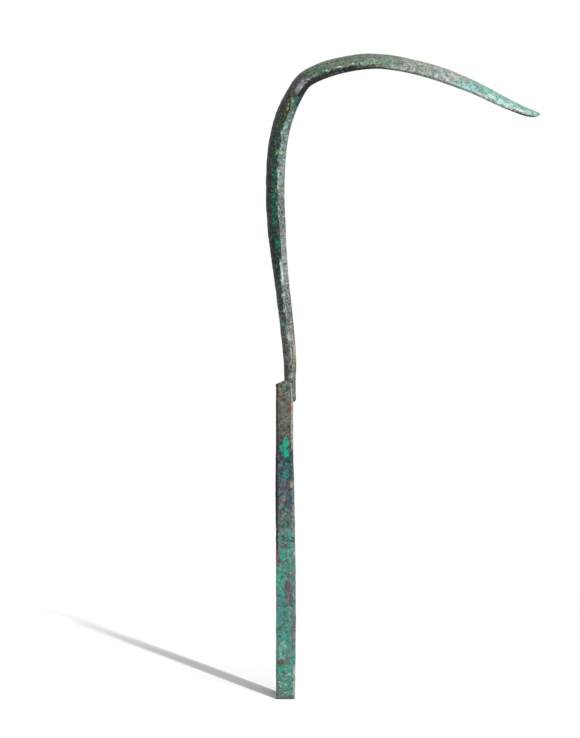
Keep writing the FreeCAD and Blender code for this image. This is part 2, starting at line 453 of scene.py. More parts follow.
@dataclass(frozen=True)
class Patina:
    """The finish of corroded bronze, with painted shade and highlights in some of its parts: strips of
    ground colour, growths over them, and single patches.
    """

    name: str
    length: float
    grounds: Sequence[Ground]
    growths: Sequence[Growth] = ()
    spots: Sequence[Spot] = ()
    contrast: float = 1.0
    # strength of the mint on the high points, partly wear and partly a painted highlight
    wear_and_highlight: float = 0.15
    grain_depth: float = 0.14
    shine: float = 0.2
    half_width: float = 7.7
    narrows: float = 0.0107
    depth: float = 6.7
    thins: float = 0.008
    corner: Pair = (2.2, 0.8)
    near_side: Pair = (-4.0, -5.2)

    def lie(self, graph: Graph) -> Lie:
        """The coordinates on the handle and its joints: Z along, and X across as a share of the depth.

        Args:
            graph: The material.

        Returns:
            The coordinates. Away from the corners of the wide faces the share is a half.
        """
        place = graph.place()
        x, y, z = graph.split(place)
        flow = graph.node("CombineXYZ", {}, {0: z, 1: y, 2: x})
        inward = self.half_width - self.narrows * z - y.most(-1 * y)
        depth = self.depth - self.thins * z
        share = 0.5 + ((x + self.depth / 2) / depth - 0.5) * inward.step(*self.corner)
        return self.roughened(graph, place, flow, z, x, share, y.step(*self.near_side))

    def roughened(
        self, graph: Graph, place: Value, flow: Value, along: Value, across: Value, band: Value, near: Value
    ) -> Lie:
        """Coordinates with uneven edges, so that no patch ends on a clean line.

        Args:
            graph: The material.
            place: The point on the piece.
            flow: The point with its first axis along the piece.
            along: Distance along the piece.
            across: Distance across it.
            band: Place across it, as the grounds and growths count it.
            near: The side that the single patches are on.

        Returns:
            The coordinates.
        """
        wander = graph.noise(flow, 4.0, seed=3.1) - 0.5
        shiver, drift = (graph.noise(flow, 1.3, seed, rough=0.65) - 0.5 for seed in (7.7, 17.7))
        sideways = across + 0.9 * drift + 0.5 * wander
        spread = graph.node("CombineXYZ", {}, {0: along + 3.0 * shiver, 1: sideways, 2: 0.0})
        ragged = along + 10.0 * wander + 5.0 * shiver
        uneven = band + 0.14 * drift + 0.1 * wander
        grit = 0.65 + 0.35 * graph.noise(flow, 0.7, 27.7, detail=2.0).step(0.4, 0.55)
        return Lie(graph, self.length, place, flow, ragged, uneven, spread, grit, near)

    def make(self) -> Material:
        """Builds the material.

        Returns:
            The finished material.
        """
        graph = Graph(bpy.data.materials.new(self.name))
        lie = self.lie(graph)
        colour = None
        for ground in self.grounds:
            stops = [(spot / self.length, tint.colour) for spot, tint in ground.tints.items()]
            strip = graph.node("ValToRGB", {"stops": stops}, {"Fac": lie.ragged / self.length})
            colour = graph.blend(lie.band.step(*ground.sets_in), colour, strip) if colour else strip
        for number, growth in enumerate(self.growths):
            mask = growth.mask(lie, FIRST_SEED + NEXT_SEED * number)
            colour = graph.blend(mask, colour, growth.tint.colour)
        for spot in self.spots:
            colour = graph.blend(spot.mask(lie), colour, spot.tint.colour)
        return self.surface(lie, colour)

    def surface(self, lie: Lie, colour: Value) -> Material:
        """Adds what is the same all over: grain, darkening in the hollows, and mint on the high points,
        partly wear and partly a painted highlight.

        Args:
            lie: The piece's coordinates.
            colour: The colour so far.

        Returns:
            The finished material.
        """
        graph = lie.graph
        sand = graph.noise(lie.place, 0.75, 21.0, detail=2.0, rough=0.6).step(0.28, 0.72)
        crust = graph.noise(lie.place, 2.2, 33.0, detail=4.0, rough=0.7).step(0.3, 0.7)
        drawn_out = (0.15, 1.0, 1.0)
        lines = graph.noise(lie.flow, 0.7, 41.0, detail=2.0, rough=0.5, squeeze=drawn_out).step(0.3, 0.7)
        tone = 1 + self.contrast * (0.5 * sand + 0.6 * crust + 0.25 * lines - 0.65)
        colour = graph.dim(colour, tone)
        high = graph.node("NewGeometry", output="Pointiness")
        # darker in the hollows that the mesh's pointiness finds
        colour = graph.blend(0.4 * high.step(0.48, 0.42), colour, Tint.INK.colour)
        # mint on the high points: partly wear, partly a painted highlight
        colour = graph.blend(self.wear_and_highlight * high.step(0.53, 0.6), colour, Tint.MINT.colour)
        pits = graph.noise(lie.place, 0.9, 55.0, detail=2.0).step(0.38, 0.28)
        colour = graph.blend(0.6 * pits, colour, Tint.INK.colour)
        rough = 0.5 + 0.3 * crust + 0.1 * pits
        height = 0.45 * crust + 0.35 * sand + 0.2 * lines - 0.4 * pits
        sockets = {"Base Color": colour, "Roughness": rough, "Specular IOR Level": self.shine}
        return graph.finish(height, self.grain_depth, sockets)


@dataclass(frozen=True)
class SheetPatina(Patina):
    """The patina of the blade, with its painted shade and highlights, which follows the bent sheet instead
    of the room's axes.
    """

    def lie(self, graph: Graph) -> Lie:
        """The coordinates on the blade, from the distances that its mesh carries.

        Args:
            graph: The material.

        Returns:
            The coordinates. The band is 0 on the back, 1 at the ridge and 2 at the lip.
        """
        place = graph.place()
        lay = graph.node("Attribute", {"attribute_name": "lay"}, output="Vector")
        along, depth, band = graph.split(lay)
        side = graph.split(place)[1]
        flow = graph.node("CombineXYZ", {}, {0: along, 1: side, 2: depth})
        return self.roughened(graph, place, flow, along, depth, band, side.step(0.5, -0.5))


BLADE_GROUNDS = (
    # strip of the back: its slate and ink are partly dark patina, partly painted shade on the back, which
    # faces away from the light
    Ground(tints={
        0: Tint.UMBER, 6: Tint.SLATE, 48: Tint.INK, 96: Tint.INK, 108: Tint.SLATE, 118: Tint.MOSS,
        136: Tint.MOSS, 150: Tint.SAGE, 158: Tint.CREAM, 171: Tint.CREAM, 178: Tint.TURQUOISE}),
    Ground(sets_in=(0.38, 0.52), tints={
        0: Tint.STONE, 16: Tint.MAUVE, 30: Tint.SLATE, 48: Tint.FIR, 80: Tint.FIR, 92: Tint.PEAT,
        103: Tint.PEAT, 111: Tint.MAUVE, 119: Tint.MOSS, 142: Tint.SAGE, 162: Tint.ASH, 170: Tint.BONE,
        178: Tint.TURQUOISE, 188: Tint.MINT, 205: Tint.TURQUOISE}),
    # strip of the lip: its fir and ink from 103 to 144 are painted shade where the lip faces down under the
    # bend
    Ground(sets_in=(0.97, 1.06), tints={
        0: Tint.KHAKI, 24: Tint.STONE, 44: Tint.ASH, 66: Tint.STONE, 76: Tint.ASH, 84: Tint.SAGE,
        97: Tint.SAGE, 103: Tint.FIR, 112: Tint.INK, 134: Tint.INK, 144: Tint.MOSS, 152: Tint.BONE,
        170: Tint.BONE, 178: Tint.MINT, 192: Tint.MILK, 205: Tint.BONE}),
)
BLADE_GROWTHS = (
    Growth(Tint.SLATE, 2.4, ends=(0.9, 1.1), strength=0.75, cover={
        0: 0.2, 20: 0.4, 60: 0.4, 100: 0.3, 112: 0.35, 130: 0.2, 160: 0.15, 176: 0.05}),
    Growth(Tint.PLUM, 3, ends=(0.5, 0.9), strength=0.6, cover={
        0: 0.1, 26: 0.3, 46: 0.2, 66: 0.4, 90: 0.4, 108: 0.3, 118: 0.1, 176: 0}),
    Growth(Tint.BOTTLE, 2.2, sets_in=(0.3, 0.55), ends=(0.95, 1.05), strength=0.7, cover={
        0: 0.15, 30: 0.2, 46: 0.35, 62: 0.38, 80: 0.35, 94: 0.25, 104: 0.2, 118: 0.3, 150: 0.2}),
    Growth(Tint.PEAT, 2.6, ends=(0.95, 1.05), strength=0.7, cover={
        0: 0.2, 40: 0.15, 76: 0.3, 92: 0.5, 104: 0.4, 118: 0.35, 146: 0.3, 160: 0.1, 176: 0}),
    Growth(Tint.JADE, 2, ends=(0.95, 1.05), strength=0.7, cover={
        0: 0.15, 44: 0.1, 104: 0.1, 118: 0.3, 134: 0.35, 156: 0.35, 176: 0.3}),
    Growth(Tint.KHAKI, 1.5, strength=0.75, cover={
        0: 0.35, 26: 0.25, 40: 0.05, 97: 0.1, 102: 0.35, 106: 0.1, 122: 0.45, 150: 0.4, 176: 0}),
    Growth(Tint.TAN, 1.3, strength=0.65, cover={
        0: 0.3, 24: 0.25, 44: 0, 126: 0.1, 140: 0.25, 160: 0.4, 172: 0.3, 180: 0}),
    Growth(Tint.MAUVE, 1.4, strength=0.55, cover={
        0: 0.3, 26: 0.35, 44: 0.1, 112: 0.1, 150: 0.25, 164: 0.4, 176: 0.2, 190: 0.25, 205: 0.2}),
    Growth(Tint.LILAC, 1.4, sets_in=(0.95, 1.1), strength=0.65, stretch=0.5, cover={
        0: 0.15, 44: 0.35, 62: 0.5, 90: 0.4, 100: 0.1, 150: 0.15, 162: 0.45, 180: 0.3, 205: 0.25}),
    Growth(Tint.MINT, 1.2, sets_in=(1, 1.1), strength=0.6, soft=0.08, stretch=1.6, cover={
        0: 0.1, 40: 0.2, 50: 0.35, 60: 0.25, 70: 0.3, 90: 0.35, 98: 0.3, 104: 0}),
    Growth(Tint.SLATE, 1, sets_in=(1, 1.1), strength=0.6, soft=0.12, stretch=0.6, cover={
        0: 0.35, 30: 0.5, 48: 0.4, 62: 0.6, 72: 0.4, 90: 0.5, 110: 0.6, 134: 0.6, 146: 0.3, 176: 0.1}),
    Growth(Tint.LILAC, 1.6, strength=0.6, cover={
        148: 0, 156: 0.35, 172: 0.45, 190: 0.4, 205: 0.35}),
    # mint streaks just below the ridge: painted highlight along the ridge
    Growth(Tint.MINT, 1.1, sets_in=(0.72, 0.92), ends=(1.15, 1.4), strength=0.75, stretch=3, cover={
        10: 0.4, 30: 0.3, 44: 0.3, 50: 0.15, 98: 0.3, 108: 0.1, 118: 0.3, 134: 0.1}),
    Growth(Tint.MINT, 1, strength=0.65, cover={
        112: 0.1, 125: 0.2, 150: 0.2, 176: 0.35, 190: 0.4, 205: 0.35}),
    Growth(Tint.TEAL, 1.1, strength=0.65, cover={
        0: 0.1, 48: 0.15, 66: 0.2, 84: 0.2, 100: 0.15, 140: 0.2, 176: 0.4, 205: 0.3}),
    Growth(Tint.EMERALD, 1.9, sets_in=(0.32, 0.5), ends=(0.96, 1.04), strength=0.42, soft=0.1, cover={
        44: 0, 48: 0.5, 51: 0.4, 54: 0.1, 58: 0.5, 66: 0.5, 69: 0.1, 74: 0.5, 82: 0.45, 86: 0.1, 100: 0.15,
        106: 0}),
    Growth(Tint.INK, 0.8, ends=(1, 1.1), strength=0.75, cover={
        0: 0.3, 44: 0.45, 100: 0.45, 118: 0.3, 150: 0.25, 176: 0.15, 205: 0.1}),
    Growth(Tint.INK, 0.9, sets_in=(1, 1.1), strength=0.7, soft=0.08, stretch=0.6, cover={
        0: 0.3, 30: 0.35, 48: 0.3, 60: 0.4, 72: 0.3, 96: 0.35, 150: 0.2, 205: 0.1}),
    # ink on the lip from 104 to 150: painted shade where the lip faces down under the bend
    Growth(Tint.INK, 1.2, sets_in=(1.05, 1.2), strength=0.65, cover={
        104: 0, 110: 0.7, 134: 0.7, 142: 0.3, 150: 0}),
    # thin ink line at the lip's lower edge from 130 on: painted shade on the lip's underside
    Growth(Tint.INK, 1, {130: 0, 142: 1}, sets_in=(1.84, 1.97), strength=0.7, soft=0.1),
    Growth(Tint.SLATE, 1, {193: 0, 199: 1}, sets_in=(0.95, 1.35), strength=0.8, soft=0.1),
    Growth(Tint.INK, 0.45, sets_in=(0.8, 1), strength=0.7, stretch=14, cover={
        0: 0.55, 8: 0.5, 16: 0.1, 40: 0}),
    Growth(Tint.MILK, 0.4, sets_in=(0.8, 1), strength=0.55, stretch=14, cover={
        0: 0.4, 8: 0.35, 24: 0.2, 40: 0}),
)
BLADE_SPOTS = (
    Spot(Tint.PETROL, -6.6, 3.9, 1.3, 0.7, 0.85),
    Spot(Tint.EMERALD, 20.5, 1.05, 0.9, 0.6),
    # mint streak below the ridge: painted highlight
    Spot(Tint.MINT, 39.0, 3.1, 4.5, 0.35, 0.8),
    Spot(Tint.TAN, 15.0, 4.0, 9.0, 0.2, 0.55),
    Spot(Tint.GOLD, 59.1, 4.5, 0.5, 0.25, 0.8),
    Spot(Tint.MINT, 61.7, 4.6, 0.5, 0.3, 0.7),
    Spot(Tint.GOLD, 69.2, 4.5, 0.9, 0.3, 0.95),
    Spot(Tint.BRICK, 53.0, 4.5, 0.6, 0.25, 0.8),
    Spot(Tint.BRICK, 76.4, 4.6, 0.8, 0.25, 0.8),
    Spot(Tint.GOLD, 82.4, 3.5, 0.9, 0.5, 0.45),
    Spot(Tint.GOLD, 99.4, 3.3, 0.7, 0.35, 0.5),
    Spot(Tint.GOLD, 101.3, 3.1, 0.5, 0.4, 0.4),
    Spot(Tint.GOLD, 103.6, 3.2, 1.0, 0.45, 0.5),
    Spot(Tint.TEAL, 103.0, 4.9, 2.4, 0.6, 0.6),
    Spot(Tint.LILAC, 109.5, 3.4, 3.2, 0.95, 0.75, square=True),
    Spot(Tint.MILK, 122.8, 3.7, 0.6, 0.25, 0.9),
    Spot(Tint.MILK, 127.5, 3.6, 0.7, 0.25, 0.8),
    Spot(Tint.MINT, 133.0, 3.3, 0.6, 0.4, 0.9),
    Spot(Tint.TEAL, 145.5, 3.4, 2.0, 0.5, 0.6),
    Spot(Tint.CORAL, 172.5, 0.9, 1.4, 0.5, 0.75),
    Spot(Tint.CORAL, 175.8, 1.2, 0.7, 0.4, 0.7),
    Spot(Tint.CORAL, 183.3, 4.0, 1.0, 0.25, 0.9),
    Spot(Tint.CORAL, 188.7, 3.4, 0.8, 0.25, 0.9),
    Spot(Tint.MILK, 197.0, 2.3, 4.5, 0.45, 0.8),
)
HANDLE_GROUNDS = (
    # strip at the back edge of the narrow side: from z 53 up its umber, plum and ink are partly brown-purple
    # patina, partly painted shade on the edge that faces away from the light
    Ground(tints={
        0: Tint.MOSS, 6: Tint.JADE, 14: Tint.MOSS, 20: Tint.JADE, 48: Tint.JADE, 53: Tint.UMBER,
        60: Tint.PLUM, 88: Tint.PLUM, 104: Tint.UMBER, 112: Tint.INK}),
    Ground(sets_in=(0.11, 0.17), tints={
        0: Tint.MOSS, 5: Tint.JADE, 13: Tint.MOSS, 20: Tint.JADE, 54: Tint.JADE, 61: Tint.MOSS,
        71: Tint.SLATE, 79: Tint.PETROL, 91: Tint.FIR, 96: Tint.DRIFT, 106: Tint.DRIFT, 112: Tint.MOSS}),
    # strip at the front edge of the narrow side: lighter, partly pale patina, partly a painted highlight on
    # the edge that faces the light
    Ground(sets_in=(0.88, 0.94), tints={
        0: Tint.STONE, 8: Tint.SAGE, 16: Tint.MOSS, 36: Tint.MAUVE, 48: Tint.MOSS, 68: Tint.STONE,
        82: Tint.MOSS, 90: Tint.STONE, 104: Tint.ASH, 112: Tint.KHAKI}),
)
HANDLE_GROWTHS = (
    Growth(Tint.MAUVE, 2.6, strength=0.8, cover={
        0: 0.15, 13: 0.4, 20: 0.25, 38: 0.45, 48: 0.3, 60: 0.4, 72: 0.5, 80: 0.3, 90: 0.25, 100: 0.4}),
    Growth(Tint.PETROL, 2.2, strength=0.8, cover={
        0: 0.2, 30: 0.25, 56: 0.3, 72: 0.35, 78: 0.5, 86: 0.35, 94: 0.15}),
    Growth(Tint.TEAL, 1.9, sets_in=(0.09, 0.16), strength=0.8, cover={
        0: 0.4, 20: 0.6, 50: 0.5, 60: 0.4, 70: 0.3, 84: 0.4, 93: 0.15, 112: 0.1}),
    Growth(Tint.STONE, 1.4, sets_in=(0.09, 0.16), strength=0.65, cover={
        0: 0.2, 30: 0.3, 66: 0.35, 76: 0.15, 96: 0.3, 112: 0.35}),
    Growth(Tint.EMERALD, 1.5, strength=0.55, cover={
        0: 0.2, 10: 0.35, 20: 0.25, 34: 0.25, 50: 0.25, 60: 0.15, 84: 0.1, 90: 0.2, 95: 0}),
    Growth(Tint.BRICK, 1, strength=0.65, cover={
        0: 0.05, 24: 0.12, 50: 0.2, 72: 0.2, 84: 0.1, 98: 0.25, 104: 0.35, 112: 0.1}),
    Growth(Tint.MOSS, 1.3, strength=0.7, cover={
        88: 0.1, 94: 0.35, 112: 0.45}),
    Growth(Tint.JADE, 0.9, strength=0.6, cover={
        88: 0, 94: 0.3, 104: 0.25, 112: 0.4}),
    Growth(Tint.TAN, 1, strength=0.4, soft=0.1, cover={
        88: 0, 96: 0.15, 104: 0.25, 112: 0.3}),
    Growth(Tint.PLUM, 1.5, strength=0.7, cover={
        0: 0.1, 16: 0.2, 34: 0.3, 44: 0.25, 72: 0.35, 96: 0.3, 112: 0.25}),
    Growth(Tint.INK, 0.9, strength=0.65, cover={
        0: 0.3, 10: 0.15, 22: 0.1, 40: 0.15, 62: 0.25, 80: 0.35, 96: 0.3, 112: 0.35}),
    # pale streaks on the front edge, stronger towards the top: partly pale patina, partly a painted
    # highlight along the front corner
    Growth(Tint.BONE, 1.2, sets_in=(0.88, 0.94), strength=0.55, stretch=4, cover={
        0: 0, 4: 0.3, 10: 0.3, 16: 0.15, 46: 0.25, 66: 0.3, 78: 0.1, 88: 0.4, 94: 0.55, 112: 0.6}),
    # plum on the back edge from z 50 up: partly patina, partly painted shade on the edge that faces away
    # from the light
    Growth(Tint.PLUM, 1.4, ends=(0.12, 0.2), strength=0.55, soft=0.1, cover={
        50: 0, 60: 0.6, 84: 0.6, 96: 1}),
    # near-black line along the back edge from z 48 up: painted shade on the rounded edge that faces away
    # from the light
    Growth(Tint.INK, 3, {48: 0, 56: 1}, ends=(0.06, 0.13), strength=0.9, soft=0.1),
    Growth(Tint.MINT, 0.5, sets_in=(0.09, 0.16), strength=0.6, cover={
        0: 0.15, 4: 0.35, 9: 0.35, 13: 0.1, 30: 0.1, 56: 0.15, 66: 0.1, 74: 0.15, 80: 0}),
    Growth(Tint.PLUM, 0.6, strength=0.6, cover={
        0: 0.2, 4: 0.45, 9: 0.45, 13: 0.2, 112: 0.1}),
)
HANDLE_SPOTS = (
    Spot(Tint.OCHRE, 108.6, -1.4, 0.6, 0.45, 0.8),
    Spot(Tint.BRICK, 103.6, 1.4, 2.4, 0.6, 0.6),
    Spot(Tint.EMERALD, 91.6, 0.2, 2.0, 1.1, 0.85),
    Spot(Tint.EMERALD, 89.6, -0.8, 1.5, 1.2, 0.9),
    Spot(Tint.EMERALD, 87.4, 0.3, 1.5, 1.1, 0.85),
    Spot(Tint.INK, 85.0, 0.9, 1.4, 1.4, 0.55),
    Spot(Tint.TEAL, 80.6, 0.2, 2.2, 1.1, 0.5),
    Spot(Tint.TAN, 76.8, 2.2, 1.4, 0.7, 0.6),
    Spot(Tint.LILAC, 71.6, -0.9, 1.2, 0.9, 0.25),
    Spot(Tint.PETROL, 70.8, 1.8, 2.0, 1.0, 0.7),
    Spot(Tint.TEAL, 68.9, -1.7, 0.9, 0.7, 0.9),
    Spot(Tint.TEAL, 59.2, 1.4, 1.6, 1.0, 0.8),
    Spot(Tint.EMERALD, 51.5, -0.9, 2.8, 0.7, 0.6),
    Spot(Tint.BRICK, 51.0, -2.6, 3.0, 0.5, 0.75),
    Spot(Tint.BRICK, 50.0, 2.2, 0.9, 0.6, 0.7),
    Spot(Tint.EMERALD, 41.0, -2.3, 4.0, 0.6, 0.5),
    Spot(Tint.MAUVE, 38.0, 1.3, 5.5, 1.6, 0.7),
    Spot(Tint.PLUM, 40.5, 0.9, 2.6, 1.2, 0.6),
    Spot(Tint.PLUM, 35.5, 1.9, 2.4, 0.8, 0.6),
    Spot(Tint.TEAL, 31.2, -1.4, 2.4, 1.4, 0.5),
    Spot(Tint.TURQUOISE, 17.5, -0.9, 3.6, 1.6, 0.35),
    Spot(Tint.MAUVE, 24.0, 2.6, 9.0, 0.8, 0.7),
    Spot(Tint.UMBER, 13.2, -1.8, 1.3, 1.4, 0.8),
    Spot(Tint.EMERALD, 10.8, -1.8, 1.2, 0.8, 0.8),
    Spot(Tint.MAUVE, 1.6, -0.4, 1.6, 3.2, 0.4),
    Spot(Tint.BONE, 7.0, 3.1, 5.0, 0.45, 0.65),
    Spot(Tint.KHAKI, 8.2, 2.9, 1.4, 0.4, 0.6),
)
SOLDER_GROWTHS = (
    Growth(Tint.MOSS, 2, {0: 0.3, 114: 0.3}),
    Growth(Tint.UMBER, 1.4, {0: 0.4, 114: 0.4}),
    Growth(Tint.ASH, 0.9, {0: 0.2, 114: 0.25}),
    Growth(Tint.INK, 0.8, {0: 0.3, 114: 0.4}, strength=0.7),
)
LEAD_GROWTHS = (
    Growth(Tint.MILK, 2, {0: 0.3, 114: 0.3}),
    Growth(Tint.UMBER, 1.2, {0: 0.2, 114: 0.2}),
)
BLADE_PATINA_AND_PAINTED_LIGHT = SheetPatina("blade_patina_and_painted_light", 206.0, BLADE_GROUNDS, BLADE_GROWTHS, BLADE_SPOTS)
HANDLE_PATINA_AND_PAINTED_LIGHT = Patina("handle_patina_and_painted_light", 112.3, HANDLE_GROUNDS, HANDLE_GROWTHS, HANDLE_SPOTS)
SOLDER_FINISH = Patina("solder_finish", 114.0, (Ground({0: Tint.SOLDER, 114: Tint.SOLDER}),), SOLDER_GROWTHS)
LEAD_FINISH = Patina("lead_finish", 114.0, (Ground({0: Tint.LEAD, 114: Tint.LEAD}),), LEAD_GROWTHS)


class Grain(Enum):
    """The ways in which a surface is uneven."""

    LUMPS = "CLOUDS"
    PITS = "VORONOI"


@dataclass(frozen=True)
class Relief:
    """One layer of unevenness: its kind, the size of a lump, and its height, in millimetres."""

    grain: Grain
    size: float
    height: float
    group: str = ""
    pit_edge: Pair = (0.1, 0.42)

    def press(self, piece: Piece) -> None:
        """Presses the layer into a piece's surface.

        Args:
            piece: The piece, with a fine mesh.
        """
        texture = bpy.data.textures.new(f"{piece.name}_{self.grain.name.lower()}", self.grain.value)
        texture.noise_scale = self.size * MM
        middle = 0.5
        if self.grain is Grain.LUMPS:
            texture.noise_depth = 3
        else:
            texture.use_color_ramp = True
            for element, place in zip(texture.color_ramp.elements, self.pit_edge):
                element.position = place
            middle = 1.0
        modify(
            piece, "DISPLACE", texture=texture, strength=self.height * MM, mid_level=middle,
            texture_coords="LOCAL", vertex_group=self.group,
        )


def alone(piece: Piece) -> None:
    """Selects one object and makes it the active one."""
    for other in bpy.context.selected_objects:
        other.select_set(False)
    piece.select_set(True)
    bpy.context.view_layer.objects.active = piece


def modify(piece: Piece, kind: str, **settings: object) -> None:
    """Adds a modifier and applies it.

    Args:
        piece: The object that it works on.
        kind: The modifier's type.
        settings: The modifier's own settings.
    """
    modifier = piece.modifiers.new(kind.lower(), kind)
    for name, value in settings.items():
        setattr(modifier, name, value)
    alone(piece)
    bpy.ops.object.modifier_apply(modifier=modifier.name)


@contextmanager
def editing(piece: Piece, mode: str = "VERT") -> Iterator[bmesh.types.BMesh]:
    """Opens a piece in edit mode with nothing selected.

    Args:
        piece: The object to edit.
        mode: What is selected in it: VERT, EDGE or FACE.

    Yields:
        Its mesh, as edit mode holds it.
    """
    alone(piece)
    bpy.ops.object.mode_set(mode="EDIT")
    bpy.ops.mesh.select_mode(type=mode)
    bpy.ops.mesh.select_all(action="DESELECT")
    mesh = bmesh.from_edit_mesh(piece.data)
    yield mesh
    bpy.ops.object.mode_set(mode="OBJECT")


def named(name: str) -> Piece:
    """Names the object that was just added, and hands it on."""
    piece = bpy.context.object
    piece.name = name
    piece.data.name = name
    return piece


def dress(piece: Piece, node: str, material: Material) -> None:
    """Finishes a piece that stands for a node of the model.

    Args:
        piece: The piece.
        node: The node that it stands for.
        material: Its material.
    """
    piece.data.materials.clear()
    piece.data.materials.append(material)
    alone(piece)
    bpy.ops.object.shade_smooth()
    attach(piece, "root")
    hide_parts(node)
    LOG.info("%s: %d faces", piece.name, len(piece.data.polygons))


@dataclass(frozen=True)
class Section:
    """The gutter's section: its width at the ridges, its mouth, its depth, and the ridge's depth."""

    width: float
    mouth: float
    depth: float
    ridge: float


@dataclass(frozen=True)
class Stretch:
    """One arc of the blade's back line: its length, its turn in degrees, and the section at its end."""

    length: float
    turn: float
    section: Section


@dataclass
class Blade:
    """The hooked, gutter-shaped scraper with its tang and its two tabs."""

    sheet: float = 0.9
    stem_back: float = -0.5
    root_height: float = 113.4
    root_heading: float = -1.2
    handle_top: float = 112.35
    tang_end: float = 101.3
    tab_end: float = 106.1
    tab_slope: float = 31.0
    tab_middle: float = 4.03
    ring_step: float = 1.8
    root: Section = Section(10.4, 7.4, 4.2, 3.1)
    stretches: tuple[Stretch, ...] = (
        Stretch(5.0, -1.73, Section(10.5, 7.4, 4.65, 2.95)),
        Stretch(10.0, -3.47, Section(10.7, 7.3, 4.95, 2.6)),
        Stretch(21.0, -1.2, Section(11.4, 7.5, 5.4, 2.4)),
        Stretch(11.2, -0.6, Section(12.4, 8.3, 6.1, 4.2)),
        Stretch(11.0, 4.2, Section(13.2, 9.0, 6.85, 4.4)),
        Stretch(23.9, 9.1, Section(14.8, 10.6, 6.95, 4.4)),
        Stretch(26.9, 28.4, Section(18.0, 14.2, 6.15, 4.2)),
        Stretch(7.6, 30.7, Section(19.2, 16.0, 6.0, 4.2)),
        Stretch(13.4, 15.0, Section(21.0, 18.8, 5.8, 4.1)),
        Stretch(15.9, 17.8, Section(22.6, 22.2, 5.0, 4.1)),
        Stretch(22.1, 13.0, Section(21.8, 21.8, 4.9, 3.9)),
        Stretch(15.2, 8.9, Section(18.0, 18.0, 4.1, 3.2)),
        Stretch(12.8, -3.2, Section(13.2, 13.2, 3.4, 2.6)),
        Stretch(5.5, -1.4, Section(9.2, 9.2, 2.8, 2.1)),
        Stretch(2.1, -0.5, Section(6.0, 6.0, 1.9, 1.5)),
        Stretch(1.1, -0.3, Section(2.2, 2.2, 0.6, 0.45)),
    )
    point_start: float = 196.0
    point_thickness: float = 0.4
    lip_relief: float = 0.35
    reliefs: tuple[Relief, ...] = (
        Relief(Grain.LUMPS, 9.0, 0.35, "relief"),
        Relief(Grain.LUMPS, 2.6, 0.22, "relief"),
        Relief(Grain.PITS, 1.6, 0.14, "relief"),
    )
    bend_angles: tuple[float, ...] = (0.0, 15.0, 30.0, 45.0, 60.0, 78.0, 90.0)
    flange_shares: tuple[float, ...] = (0.14, 0.5, 0.88, 1.0)
    tip_rows: Pair = (0.9, 0.35)
    tang_columns: int = 4
    notch_play: float = 0.05
    tab_margin: float = 0.3

    @property
    def end(self) -> float:
        """The back line's length from the first bend to the tip."""
        return sum(stretch.length for stretch in self.stretches)

    @property
    def half(self) -> int:
        """Count of the points from the back to a lip."""
        return len(self.bend_angles) + len(self.flange_shares)

    def back_point(self, along: float) -> Triple:
        """A point of the back line.

        Args:
            along: Distance from the blade's first bend, below zero in the handle.

        Returns:
            Its X, its Z, and the line's heading from +Z towards +X.
        """
        x, z, heading = self.stem_back, self.root_height, math.radians(self.root_heading)
        for stretch in self.stretches:
            if along <= 0:
                break
            length = min(stretch.length, along)
            turn = math.radians(stretch.turn) * length / stretch.length
            chord = length * math.sin(turn / 2) / (turn / 2)
            x += chord * math.sin(heading + turn / 2)
            z += chord * math.cos(heading + turn / 2)
            heading += turn
            along -= length
        return x + along * math.sin(heading), z + along * math.cos(heading), heading

    def section(self, along: float) -> Section:
        """The section at a distance along, on smooth curves through the stretches' ends."""
        ends = np.cumsum([0.0] + [stretch.length for stretch in self.stretches])
        sections = [self.root] + [stretch.section for stretch in self.stretches]
        names = ("width", "mouth", "depth", "ridge")
        return Section(*(steady(ends, [getattr(s, name) for s in sections], along) for name in names))

    def half_outline(self, section: Section) -> list[Triple]:
        """Half of the outer outline, from the back to a lip.

        Args:
            section: The section's sizes.

        Returns:
            Depth, side and band of each point. The band is 0 on the back, 1 at the ridge, 2 at the lip.
        """
        points = []
        for angle in self.bend_angles:
            turn = math.radians(angle)
            depth = section.ridge * (1 - math.cos(turn))
            points.append((depth, section.width / 2 * math.sin(turn), depth / section.ridge))
        for share in self.flange_shares:
            depth = section.ridge + (section.depth - section.ridge) * share
            side = section.width / 2 + (section.mouth - section.width) / 2 * share
            points.append((depth, side, 1 + share))
        return points

    def rows(self) -> list[float]:
        """Distances along at which the sheet has a row of points, from the tang's end to the tip."""
        marks = [height - self.root_height for height in (self.tang_end, self.tab_end, self.handle_top)]
        rows = [marks[0]]
        for low, high in zip(marks, [*marks[1:], self.end]):
            rows.extend(np.linspace(low, high, math.ceil((high - low) / self.ring_step) + 1)[1:])
        return sorted([*rows, *(self.end - short for short in self.tip_rows)])

    def build(self) -> Piece:
        """Makes the blade from a flat strip: bent to shape, cut at the root, and given its thickness.

        Returns:
            The blade.
        """
        rows = self.rows()
        across, along = 2 * self.half - 2, len(rows) - 1
        bpy.ops.mesh.primitive_grid_add(x_subdivisions=across, y_subdivisions=along, size=2)
        piece = named("scraper_blade")
        self._bend_strip(piece, rows)
        self._cut_root(piece)
        self._weigh(piece)
        modify(
            piece, "SOLIDIFY", thickness=self.sheet * MM, offset=-1.0, thickness_clamp=0.0,
            use_even_offset=True, use_quality_normals=True,
            vertex_group="thickness", thickness_vertex_group=self.point_thickness,
        )
        modify(piece, "SUBSURF", levels=2, render_levels=2)
        for relief in self.reliefs:
            relief.press(piece)
        return piece

